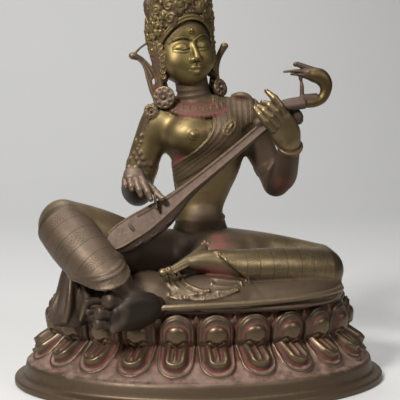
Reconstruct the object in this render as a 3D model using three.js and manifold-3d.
// A cast bronze of a seated goddess who plays a long-necked lute with a goose's head, on a double-lotus base.
// Millimetres, +Z up, +X to the figure's own left, -Y to the front. The origin is under the middle of the base.
import * as THREE from "three";
import { mergeVertices } from "three/addons/utils/BufferGeometryUtils.js";
import Module from "manifold-3d";

const wasm = await Module();
wasm.setup();

// Driving dimensions of the lotus base.
const BASE_WIDTH = 318;
const BASE_DEPTH = 229;
const FLANGE_HEIGHT = 6;
const FLANGE_LIP = 8;
const FOOT_BAND_HEIGHT = 14;
const LOTUS_HEIGHT = 53;
const FALLING_SHARE = 0.45;
const LOTUS_TOP_INSET = 33;
const WAIST_INSET = 38;
const PETAL_COUNT = 22;
const PETAL_SWELL = 7;
const SEAT_SWELL = 5;

// Driving dimensions of the figure and of what it holds.
const FIGURE_HEIGHT = 297;
const LUTE_WIDTH = 24;
const LUTE_DEPTH = 16;
const SEAT_GAP = 0.3;
const HELD_GAP = 0.3;
const FOOT_GAP = 3;

// The pose is written in millimetres for a figure POSE_HEIGHT tall, measured from the seat's centre.
const POSE_HEIGHT = 297;
const GROW = FIGURE_HEIGHT / POSE_HEIGHT;

const SEAT_LEVEL = FLANGE_HEIGHT + FOOT_BAND_HEIGHT + LOTUS_HEIGHT;
const FIGURE_FLOOR = SEAT_LEVEL + SEAT_GAP;
const DEG = Math.PI / 180;

const V = (x, y, z) => new THREE.Vector3(x, y, z);

// A closed geometry as a solid that can be joined and cut.
function solid(geometry) {
  const bare = geometry.clone();
  bare.deleteAttribute("normal");
  bare.deleteAttribute("uv");
  const merged = mergeVertices(bare, 1e-4);
  return new wasm.Manifold(
    new wasm.Mesh({
      numProp: 3,
      vertProperties: new Float32Array(merged.attributes.position.array),
      triVerts: new Uint32Array(merged.index.array),
    }),
  );
}

const joined = (solids) => solids.reduce((whole, piece) => whole.add(piece));

// A solid back as a geometry for a mesh.
function geometryOf(made) {
  const { numProp, vertProperties, triVerts } = made.getMesh();
  const positions = new Float32Array((vertProperties.length / numProp) * 3);
  for (let i = 0; i < positions.length / 3; i++) {
    positions.set(vertProperties.subarray(i * numProp, i * numProp + 3), i * 3);
  }
  const geometry = new THREE.BufferGeometry();
  geometry.setAttribute("position", new THREE.BufferAttribute(positions, 3));
  geometry.setIndex(new THREE.BufferAttribute(triVerts, 1));
  return geometry;
}

// A rounded form along a smooth spine: a sphere whose rings slide along the curve. Each station is
// [x, y, z, radius across, radius along up], and the second radius is the first one where it is left out.
// A band stands round it between two shares of its length.
function limb(stations, { sides = 8, rings = 3, caps = 2, up = [0, 0, 1], blunt = 1, bands = [] } = {}) {
  const points = stations.map(([x, y, z]) => V(x, y, z));
  const widths = stations.map(([, , , a, b = a]) => V(a, b, 0));
  const spine = new THREE.CatmullRomCurve3(points, false, "catmullrom", 0.5);
  const width = new THREE.CatmullRomCurve3(widths, false, "catmullrom", 0.5);
  const inBand = (t) => bands.some(([from, to]) => t > from - 0.06 && t < to + 0.06);
  const plain = Array.from({ length: rings + 1 }, (_, k) => [k / rings, 0]).filter(([t]) => !inBand(t));
  const raised = bands.flatMap(([from, to, rise]) => [[from, 0], [from, rise], [to, rise], [to, 0]]);
  const steps = [...plain, ...raised].sort((a, b) => a[0] - b[0]);
  const last = steps.length - 1 + 2 * caps;
  const geometry = new THREE.SphereGeometry(1, sides, last);
  const position = geometry.attributes.position;
  const upright = V(...up);
  for (let j = 0; j <= last; j++) {
    const [t, rise] = steps[THREE.MathUtils.clamp(j - caps, 0, steps.length - 1)];
    const capTurn = (Math.min(j, last - j, caps) / caps) * 90 * DEG;
    const end = j < caps ? -1 : j > last - caps ? 1 : 0;
    const centre = spine.getPoint(t);
    const along = spine.getTangent(t);
    const across = new THREE.Vector3().crossVectors(along, upright).normalize();
    const lift = new THREE.Vector3().crossVectors(across, along).normalize();
    const { x: a, y: b } = width.getPoint(t);
    centre.addScaledVector(along, end * Math.cos(capTurn) * Math.min(a, b) * blunt);
    for (let i = 0; i <= sides; i++) {
      const turn = (i / sides) * 360 * DEG;
      const reach = Math.sin(capTurn);
      const p = centre.clone();
      p.addScaledVector(across, -Math.cos(turn) * (a + rise) * reach);
      p.addScaledVector(lift, -Math.sin(turn) * (b + rise) * reach);
      position.setXYZ(j * (sides + 1) + i, p.x, p.y, p.z);
    }
  }
  return solid(geometry);
}

// An ellipsoid, turned by Euler angles in degrees.
function ball([x, y, z], radii, turn = [0, 0, 0], sides = 12, rings = 8) {
  const [rx, ry, rz] = typeof radii === "number" ? [radii, radii, radii] : radii;
  const geometry = new THREE.SphereGeometry(1, sides, rings);
  geometry.rotateX(90 * DEG);
  geometry.scale(rx, ry, rz);
  geometry.applyMatrix4(
    new THREE.Matrix4().makeRotationFromEuler(new THREE.Euler(...turn.map((d) => d * DEG), "ZYX")),
  );
  geometry.translate(x, y, z);
  return solid(geometry);
}

// A share of the way round the oval edge, from the middle of the front, as an angle.
function ovalTurns(count, half, depth) {
  const steps = 1440;
  const at = (i) => -90 * DEG + (i / steps) * 360 * DEG;
  const edge = (a) => V(half * Math.cos(a), depth * Math.sin(a), 0);
  const lengths = [0];
  for (let i = 1; i <= steps; i++) lengths.push(lengths[i - 1] + edge(at(i - 1)).distanceTo(edge(at(i))));
  const turns = [];
  let i = 0;
  for (let n = 0; n <= count; n++) {
    while (i < steps && lengths[i] < (n / count) * lengths[steps]) i++;
    turns.push(at(i));
  }
  return turns;
}

// The outline of the base without its petals, as rings of [inset from the rim, level].
function plainProfile() {
  const bandTop = FLANGE_HEIGHT + FOOT_BAND_HEIGHT;
  return [
    [0, 0],
    [0, FLANGE_HEIGHT],
    [FLANGE_LIP, FLANGE_HEIGHT + 1],
    [FLANGE_LIP + 3.5, bandTop],
    [WAIST_INSET, waistLevel()],
    [LOTUS_TOP_INSET, SEAT_LEVEL - 7],
    [LOTUS_TOP_INSET, SEAT_LEVEL - 2],
    [LOTUS_TOP_INSET + 3, SEAT_LEVEL],
  ];
}

function waistLevel() {
  return FLANGE_HEIGHT + FOOT_BAND_HEIGHT + LOTUS_HEIGHT * FALLING_SHARE;
}

// The seat: a low swell inside the rolled rim.
function seatRings() {
  return [
    [LOTUS_TOP_INSET + 10, SEAT_LEVEL + SEAT_SWELL * 0.25],
    [LOTUS_TOP_INSET + 50, SEAT_LEVEL + SEAT_SWELL],
  ];
}

// A round of rings as a closed solid. Each ring is a function of u, which runs from 0 in the middle
// of a petal to 1 in the valley beside it, and gives [inset from the rim, level].
function turned(rings, perPetal) {
  const count = PETAL_COUNT * perPetal;
  const half = BASE_WIDTH / 2;
  const depth = BASE_DEPTH / 2;
  const flat = Array.from({ length: rings.length + 2 }, () => new THREE.Vector2(1, 0));
  const geometry = new THREE.LatheGeometry(flat, count);
  const position = geometry.attributes.position;
  const turns = ovalTurns(count, half, depth);
  const last = rings.length + 1;
  for (let i = 0; i <= count; i++) {
    const inPetal = (i % perPetal) / perPetal;
    const u = 2 * Math.min(inPetal, 1 - inPetal);
    const turn = turns[i % count];
    for (let j = 0; j <= last; j++) {
      const end = j === 0 || j === last;
      const [inset, level] = rings[Math.min(Math.max(j - 1, 0), rings.length - 1)](u);
      const reach = end ? 0 : 1;
      position.setXYZ(
        i * (last + 1) + j,
        reach * (half - inset) * Math.cos(turn),
        reach * (depth - inset) * Math.sin(turn),
        level,
      );
    }
  }
  return solid(geometry);
}

// The lotus base: an oval foot with a lip, a row of petals that falls over it, a waist,
// a row of petals that rises, and a seat with a rolled rim.
function lotusBase() {
  const bandTop = FLANGE_HEIGHT + FOOT_BAND_HEIGHT;
  const waist = waistLevel();
  const plain = plainProfile().map(([inset, level]) => () => [inset, level]);
  const [foot, flange, bandFoot, bandEdge] = plain;
  const ground = FLANGE_LIP + 6;
  const run = WAIST_INSET - ground;
  const drop = waist - bandTop;
  const slope = (t, lift) => [ground + run * t - lift * 0.75, bandTop + drop * t + lift * 0.6];
  const round = (u) => Math.sqrt(Math.max(0, 1 - u * u));
  const falling = [
    (u) => slope(0.02 + 0.5 * (1 - round(u * 0.98)), 0),
    (u) => slope(0.08 + 0.46 * (1 - round(u * 0.96)), PETAL_SWELL * 0.8 * round(u)),
    (u) => slope(0.32 + 0.32 * (1 - round(u)), PETAL_SWELL * (u < 0.1 ? 1.5 : 0.75 * round(u))),
    (u) => slope(0.74, PETAL_SWELL * (u < 0.1 ? 1.2 : 0.6 * round(u))),
  ];
  const rise = SEAT_LEVEL - 3 - waist;
  const wall = (t, lift) => [
    THREE.MathUtils.lerp(WAIST_INSET, LOTUS_TOP_INSET + 3, t) - lift,
    waist + rise * t,
  ];
  const rising = [
    (u) => wall(0.1, PETAL_SWELL * (u < 0.1 ? 1 : 0.9 * round(u))),
    (u) => wall(0.4, PETAL_SWELL * (u < 0.1 ? 1.7 : 1.1 * round(u * 0.97))),
    (u) => wall(0.72 - 0.12 * u * u, PETAL_SWELL * (0.1 + 1.1 * round(u * 0.98))),
    (u) => wall(0.98 - 0.36 * u * u, PETAL_SWELL * (0.1 + 0.6 * round(u))),
  ];
  const seat = [...plainProfile().slice(-2), ...seatRings()].map(([inset, level]) => () => [inset, level]);
  const waistRing = () => [WAIST_INSET - 1, waist];
  return turned([foot, flange, bandFoot, bandEdge, ...falling, waistRing, ...rising, ...seat], 4);
}

// The room that the base takes up with its petals, raised by the gap under the figure.
function baseRoom() {
  const reach = PETAL_SWELL * 1.6 + SEAT_GAP;
  const rings = [...plainProfile(), ...seatRings()].map(([inset, level]) => {
    const wide = level > FLANGE_HEIGHT + FOOT_BAND_HEIGHT && inset < LOTUS_TOP_INSET + 5 ? reach : 0;
    return () => [inset - wide, level === 0 ? -1 : level + SEAT_GAP];
  });
  return turned(rings, 2);
}

// Where the front of the lotus reaches at a given place across it.
function lotusReach(x) {
  const inset = LOTUS_TOP_INSET - PETAL_SWELL * 1.5;
  return (BASE_DEPTH / 2 - inset) * Math.sqrt(1 - (x / (BASE_WIDTH / 2 - inset)) ** 2);
}

// Head, face and headdress, made about the middle of the head and facing -Y, then turned and placed.
const HEAD = { at: [-9, 4, 210], turn: 26, tilt: -8 };

function placedHead(solids) {
  const turned = new THREE.Matrix4().makeRotationFromEuler(
    new THREE.Euler(0, HEAD.tilt * DEG, HEAD.turn * DEG, "YZX"),
  );
  turned.setPosition(...HEAD.at);
  return joined(solids).transform(turned.toArray());
}

function head() {
  const skull = [
    [0, -10, -30, 7, 7],
    [0, -6, -24, 13.5, 13],
    [0, -2, -13, 19, 19.5],
    [0, 1, 0, 22.5, 23],
    [0, 3, 14, 22, 23.5],
    [0, 6, 26, 17, 18],
  ];
  const paired = (side) => [
    ball([side * 9, -17.5, 1], [6.2, 4.2, 3.2], [0, 0, side * 20], 6, 3),
    limb([[side * 22, 4, 6, 3, 4], [side * 25.5, 1, -30, 2.5, 4]], { sides: 5, rings: 1, caps: 1, up: [0, 1, 0] }),
  ];
  return [
    limb(skull, { sides: 10, rings: 6, up: [0, 1, 0], blunt: 0.7 }),
    limb([[0, -19.5, 7, 2], [0, -24, -4, 4, 3.4]], { sides: 5, rings: 1, caps: 1, up: [0, 1, 0] }),
    limb([[-5.5, -17, -14, 2.4], [0, -20.5, -14.3, 3.4], [5.5, -17, -14, 2.4]], { sides: 4, rings: 2, caps: 1 }),
    ...paired(-1),
    ...paired(1),
  ];
}

function hairAndCrown() {
  const band = [-92, -62, -30, 0, 30, 62, 92].map((a) => [
    24.5 * Math.sin(a * DEG),
    -4 - 16.5 * Math.cos(a * DEG),
    -6 + 29 * Math.cos(a * DEG),
    3,
    2.4,
  ]);
  const topknot = [
    [0, 8, 8, 23, 20],
    [0, 10, 32, 19, 18],
    [0, 12, 56, 14, 14],
    [0, 12, 70, 9, 9],
  ];
  const pieces = [
    limb(band, { sides: 4, rings: 8, caps: 1, up: [0, 1, 0] }),
    limb(topknot, { sides: 10, rings: 4, up: [0, 1, 0] }),
    limb([[0, 12, 76, 5], [0, 12, 88, 2.5]], { sides: 6, rings: 1, caps: 1, up: [0, 1, 0] }),
  ];
  for (const [a, height] of [[-108, 20], [-72, 30], [-36, 36], [0, 40], [36, 36], [72, 30], [108, 20]]) {
    const [sin, cos] = [Math.sin(a * DEG), Math.cos(a * DEG)];
    const foot = V(24 * sin, 3 - 21 * cos, 8 + 13 * cos);
    const spot = (t, out) => [foot.x + sin * out, foot.y - cos * out, foot.z + height * t];
    const leaf = [
      [...spot(0, 0), 9, 2.6],
      [...spot(0.5, 1.5), 8.5, 3],
      [...spot(1, 3), 1.2, 1.2],
    ];
    pieces.push(limb(leaf, { sides: 4, rings: 2, caps: 1, up: [sin, -cos, 0] }));
  }
  return pieces;
}

// What hangs beside the face: the ends of the crown's ribbons and the discs in the ears.
function besideTheFace() {
  const flat = { sides: 5, rings: 4, caps: 1, up: [0, 1, 0] };
  const right = [
    [-31, -1, 172, 6, 3],
    [-40, 2, 183, 4.5, 2.6],
    [-45, 3, 193, 3.4, 2.6],
    [-56, 3, 203.5, 3.6, 3],
  ];
  const left = [
    [17, 14, 176, 5, 4],
    [21, 15, 192, 4.2, 2.8],
    [21, 15, 204, 3.4, 2.6],
    [26, 14, 214, 3.6, 3],
  ];
  return [
    limb(right, flat),
    limb(left, flat),
    ball([-31, -7, 168], [9.5, 4.5, 9.5], [0, 0, -16], 8, 4),
    ball([21, 9, 176], [4, 9, 9], [0, -25, 30], 8, 4),
  ];
}

function torso() {
  const trunk = [
    [2, 14, 14, 34, 42],
    [2, 11, 36, 28, 34],
    [1, 7, 56, 22, 21.5],
    [1, 6, 74, 17.5, 19],
    [3, 5, 94, 17.5, 24],
    [6, 4, 118, 19.5, 31],
    [4, 5, 140, 18, 35],
    [0, 6, 156, 12, 18],
  ];
  return [
    limb(trunk, { sides: 12, rings: 8, up: [1, 0, 0], blunt: 0.7, bands: [[0.24, 0.3, 3]] }),
    ball([-9, -12, 136], 17.5, [0, 0, 0], 10, 7),
    ball([20, -11, 138], 16.5, [0, 0, 0], 10, 7),
    ball([-9.5, -29.5, 137], [2.6, 2.4, 2.6], [0, 0, 0], 5, 3),
    limb([[0, 6, 152, 15], [-3, 4, 168, 11.5], [-6, 3, 184, 12]], { rings: 2, caps: 1, up: [0, 1, 0] }),
    limb([[-32, 6, 148, 13], [0, 7, 155, 12], [38, 7, 152, 13]], { rings: 2, caps: 1 }),
  ];
}

function collarAndShawl() {
  const collar = [-105, -70, -35, 0, 35, 70, 105].map((a) => [
    27 * Math.sin(a * DEG),
    -1 - 15.5 * Math.cos(a * DEG),
    160 - 8.5 * Math.cos(a * DEG),
    6,
    3,
  ]);
  const front = [
    [40, 2, 165, 8, 4],
    [37, -12, 156, 13, 4],
    [25, -25, 140, 12, 4],
    [8, -21, 118, 10, 3.4],
    [-10, -13, 103, 9, 3.4],
    [-22, -2, 97, 8, 3],
  ];
  const back = [
    [40, 8, 164, 8, 4],
    [30, 23, 148, 10, 4],
    [4, 27, 118, 9, 4],
    [-20, 12, 98, 8, 3],
  ];
  return [
    limb(collar, { sides: 4, rings: 7, caps: 1, up: [0, -0.8, 0.6] }),
    limb(front, { sides: 4, rings: 7, caps: 1, up: [0, -1, 0.2] }),
    limb(back, { sides: 4, rings: 4, caps: 1, up: [0, 1, 0.2] }),
    ball([-39, 0, 157], [6.5, 4, 6.5], [20, 0, -20], 6, 3),
  ];
}

// Hands. The right one hangs from its wrist with the finger tips over the strings, and the left one
// lies in front of the neck of the lute with its thumb behind it.
const RIGHT_HAND = {
  wrist: [-58, -41, 107],
  fingers: [
    [[-53, -50, 104, 3.4], [-47, -62, 87.5, 2.4]],
    [[-56.5, -50, 103, 3.4], [-54.5, -61, 91, 2.4]],
    [[-60.5, -49, 102, 3.3], [-60, -59, 93, 2.3]],
  ],
  thumb: [[-55, -42, 101, 3.8], [-38, -56, 89, 3]],
};
const LEFT_HAND = {
  wrist: [69, -37, 125],
  fingers: [
    [[64, -50, 155, 3.6], [57, -54, 165, 3.2], [49, -51, 172.5, 2.2]],
    [[60, -52, 152, 3.5], [54, -54.5, 159, 3.2], [46.5, -50, 163, 2.8]],
    [[57, -52, 148, 3.4], [49, -54.5, 155, 3.1], [42.5, -50, 161, 2.7]],
    [[54, -51, 143, 3.3], [46, -54, 150, 3], [40, -49, 160, 2.6]],
  ],
  thumb: [[72, -37, 136, 4.5], [69, -33, 156, 3.4]],
};

function hand({ fingers, thumb }, up) {
  return [...fingers, thumb].map((joints) => limb(joints, { sides: 5, rings: joints.length - 1, caps: 1, up }));
}

function arms() {
  const [rightElbow, leftElbow] = [[-54, 15, 86], [67, 6, 94]];
  const upperRight = [[-32, 5, 148, 13.5], [-42, 8, 130, 13], [-49.5, 11, 108, 12.5], [...rightElbow, 11]];
  const upperLeft = [[39, 7, 151, 13.5], [50, 9, 130, 12.5], [61, 9, 108, 11], [...leftElbow, 10.5]];
  const lowerRight = [[...rightElbow, 11], [-57, -8, 92, 11.5], [-58, -30, 102, 9], [...RIGHT_HAND.wrist, 7]];
  const lowerLeft = [[...leftElbow, 10.5], [71, -8, 103, 11.5], [71, -25, 116, 10.5], [...LEFT_HAND.wrist, 9]];
  const leftPalm = [[...LEFT_HAND.wrist, 6, 9.5], [66.5, -46, 139, 6, 13], [61, -51, 150, 4.5, 10]];
  return [
    limb(upperRight, { up: [0, 1, 0], caps: 1, bands: [[0.57, 0.66, 1.8]] }),
    limb(lowerRight, { caps: 1, bands: [[0.84, 0.92, 2]] }),
    limb([[...RIGHT_HAND.wrist, 8, 6], [-57, -50, 103, 8.5, 4.5]], { sides: 6, rings: 1, caps: 1, up: [0, -0.6, 0.8] }),
    ...hand(RIGHT_HAND, [1, 0, 0.3]),
    limb([[-55, -1, 112, 8, 3], [-48, -4, 130, 1.5, 1.5]], { sides: 4, rings: 1, caps: 1, up: [-0.3, -1, 0] }),
    limb(upperLeft, { up: [0, 1, 0], caps: 1 }),
    limb(lowerLeft, { caps: 1, bands: [[0.88, 0.97, 2.4]] }),
    limb(leftPalm, { sides: 6, rings: 2, caps: 1, up: [1, 0, 0.3] }),
    ...hand(LEFT_HAND, [1, 0, 0.3]),
  ];
}

// The right leg is raised with its foot crossed over the petals, which it clears; the left leg lies flat.
function legs(footFront) {
  const y = footFront;
  const long = { sides: 10, rings: 3 };
  const toes = [0, 1, 2, 3].map((n) => [
    [-80 - n * 2.4, y - 3, 14 - n * 6, 4.4],
    [-85 - n * 2.4, y - 9, 11.5 - n * 6, 3.8],
  ]);
  toes.push([[-84, y + 3, 12, 4.6], [-98, y, 10, 3.2]]);
  const thighRight = [[-14, 12, 27, 26], [-52, -12, 37, 24], [-92, -33, 56, 23], [-116, -43, 66, 21]];
  const shinRight = [[-117, -44, 65, 21], [-105, -60, 52, 22], [-92, y * 0.8, 37, 19.5], [-79, y + 12, 26, 15]];
  const soleRight = [[-47, y + 1, 6, 10, 10], [-60, y, 7, 14, 10], [-74, y - 1, 4, 16, 8], [-85, y - 2, -1, 14, 6]];
  const thighLeft = [[20, 12, 26, 26], [60, 2, 26, 22.5], [100, -14, 22, 19]];
  const shinLeft = [[103, -22, 20, 18], [70, -34, 20, 18.5], [38, -44, 22, 15.5], [20, -48, 25, 12.5]];
  return [
    limb(thighRight, long),
    limb(shinRight, { ...long, up: [0, 1, 0], bands: [[0.8, 0.96, 1.4]] }),
    limb([[-76, y + 10, 24, 11], [-62, y + 3, 17, 12]], { sides: 8, rings: 1, caps: 1, up: [0, 1, 0] }),
    limb(soleRight, { caps: 1, up: [0, -1, 0] }),
    ...toes.map((joints) => limb(joints, { sides: 5, rings: 1, caps: 1 })),
    limb(thighLeft, long),
    limb(shinLeft, { ...long, bands: [[0.9, 0.99, 2.4]] }),
    limb([[16, -50, 26, 10], [-4, -54, 29, 8], [-18, -57, 32, 5]], { rings: 2, caps: 1 }),
  ];
}

function drapery() {
  const underKnee = [[-101, -42, 42, 12, 15], [-107, -43, 24, 10, 15], [-113, -47, 2, 9, 18]];
  const pieces = [
    ball([-12, -30, 10], [46, 32, 14], [0, 0, 0], 10, 5),
    limb([[0, -47, 44, 5], [-33, -64, 31, 3.6]], { sides: 5, rings: 1, caps: 1 }),
    ball([-37.5, -66, 30], 4.2, [0, 0, 0], 6, 3),
    limb(underKnee, { sides: 6, rings: 2, caps: 1, up: [0, 1, 0] }),
    limb([[-104, -58, 26, 3, 5], [-102, -66, -8, 4, 7]], { sides: 4, rings: 1, caps: 1, up: [0, 1, 0] }),
  ];
  for (let n = 0; n < 5; n++) {
    const spread = n / 4;
    const pleat = [
      [-24 + 10 * spread, -54, 13, 3],
      [-26 + 30 * spread, -64 + 5 * spread, 7, 3.4],
      [-20 + 54 * spread, -70 + 10 * spread, 1, 3.4],
    ];
    pieces.push(limb(pleat, { sides: 4, rings: 2, caps: 1 }));
  }
  return pieces;
}

// The lute lies from the end of its bowl to its nut, with its face to the front and a little up.
const LUTE = { end: V(-80, -54, 52), nut: V(47, -43, 147), faceUp: 24 };

function luteFrame() {
  const along = LUTE.nut.clone().sub(LUTE.end).normalize();
  const side = new THREE.Vector3().crossVectors(along, V(0, -1, 0)).normalize();
  const face = new THREE.Vector3().crossVectors(side, along).normalize();
  face.applyAxisAngle(along, -LUTE.faceUp * DEG);
  const across = new THREE.Vector3().crossVectors(face, along).normalize();
  const place = new THREE.Matrix4().makeBasis(along, across, face);
  place.setPosition(LUTE.end.clone());
  return place;
}

// Bowl and neck in the lute's own frame: X along it from the bowl's end, Y across, Z out of its face.
function lute(swell) {
  const half = LUTE_WIDTH / 2 + swell;
  const deep = LUTE_DEPTH + swell;
  const long = LUTE.nut.distanceTo(LUTE.end);
  const body = [
    [long * 0.06, 0, 0, half * 0.6, deep * 0.6],
    [long * 0.15, 0, 0, half * 0.97, deep],
    [long * 0.28, 0, 0, half * 0.92, deep * 0.9],
    [long * 0.44, 0, 0, half * 0.6, deep * 0.6],
    [long * 0.6, 0, 0, half * 0.46, deep * 0.45],
    [long * 1.02, 0, 0, half * 0.36, deep * 0.42],
  ];
  const block = new THREE.BoxGeometry(long * 3, long, long);
  block.translate(0, 0, long / 2 + swell);
  return limb(body, { sides: 12, rings: 7 }).subtract(solid(block));
}

// Pegbox, pegs and the goose's head that turns back over the nut, in the figure's own frame.
function gooseHead(swell) {
  const neck = [
    [74, -43, 164.5, 4, 4],
    [88, -43, 163.6, 3.6, 3.6],
    [97, -42, 168, 4.2, 4.2],
    [99.5, -42, 177, 5, 5],
    [95, -42, 184.5, 6.5, 6.5],
    [86, -42, 187, 5.5, 4.5],
    [78, -42, 188, 3.4, 2.6],
    [65, -42, 188.3, 1.2, 1],
  ];
  const wide = (stations) => stations.map(([x, y, z, a, b = a]) => [x, y, z, a + swell, b + swell]);
  const flat = { sides: 6, rings: 1, caps: 1, up: [0, 1, 0] };
  return [
    limb(wide([[44, -40, 147, 4.5], [62, -41, 160, 5], [80, -43, 165, 4.5]]), { ...flat, rings: 2 }),
    limb(wide([[64, -47, 160, 3], [80, -47, 162.5, 3.6]]), flat),
    limb(wide([[80, -42, 167, 4], [91, -42, 167, 4.6]]), flat),
    limb(wide([[72, -42, 160, 3], [76.5, -40, 151, 5]]), { ...flat, caps: 2 }),
    limb(wide(neck), { sides: 7, rings: 10, caps: 1, up: [0, 1, 0] }),
    limb(wide([[87, -42, 190.5, 2.4], [75, -42, 193.6, 2.2]]), flat),
    limb(wide([[79.5, -43, 167, 1.6], [79, -42.5, 188, 1.5]]), { ...flat, sides: 5 }),
  ];
}

const grown = (made) => made.scale(GROW).translate(0, 0, FIGURE_FLOOR);
const wholeLute = (swell) => {
  const instrument = joined([lute(swell).transform(luteFrame().toArray()), ...gooseHead(swell)]);
  return grown(instrument);
};

const footFront = -(lotusReach(-70) + FOOT_GAP) / GROW - 10;
const figure = grown(
  joined([
    ...torso(),
    ...collarAndShawl(),
    placedHead([...head(), ...hairAndCrown()]),
    ...besideTheFace(),
    ...arms(),
    ...legs(footFront),
    ...drapery(),
  ]),
);

const bronze = new THREE.MeshStandardMaterial({ color: 0x6b5a3a, roughness: 0.42, metalness: 0.85 });
const darkBronze = new THREE.MeshStandardMaterial({ color: 0x5a463c, roughness: 0.5, metalness: 0.7 });
const reddishBronze = new THREE.MeshStandardMaterial({ color: 0x6b4a40, roughness: 0.55, metalness: 0.6 });

function node(name, made, material) {
  const mesh = new THREE.Mesh(geometryOf(made), material);
  mesh.name = name;
  return mesh;
}

const statue = new THREE.Group();
statue.add(node("lotus_base", lotusBase(), reddishBronze));
statue.add(node("figure", figure.subtract(baseRoom()).subtract(wholeLute(HELD_GAP)), bronze));
statue.add(node("lute", wholeLute(0), darkBronze));

export default statue;
